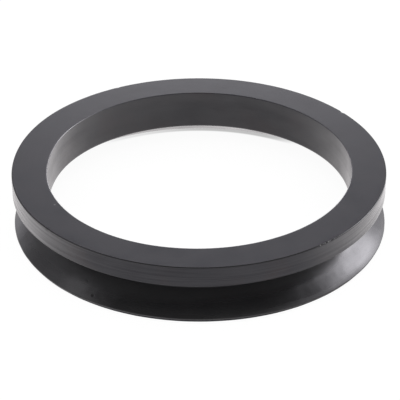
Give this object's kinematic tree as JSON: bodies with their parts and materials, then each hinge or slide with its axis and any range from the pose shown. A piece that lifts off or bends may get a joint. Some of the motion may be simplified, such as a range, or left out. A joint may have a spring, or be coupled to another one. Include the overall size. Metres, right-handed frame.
{
  "type": "v-ring",
  "caption": "Black rubber V-ring shaft seal: a square-shouldered ring with a plain bore, a V-groove round the outside and a thin conical lip that runs on a flat counterface.",
  "frame": {"origin": "on the ring's axis, in the plane of the lip's contact edge on which the ring stands", "axes": "+Z along the axis from the lip towards the flat back face; X and Y are radial"},
  "size_m": [0.055, 0.055, 0.009],
  "materials": {
    "rubber": "dark grey moulded nitrile rubber, satin on the back face, ground on the outer wall, glossy on the lip"
  },
  "bodies": {
    "root": {"v_ring": "rubber"}
  },
  "joints": []
}
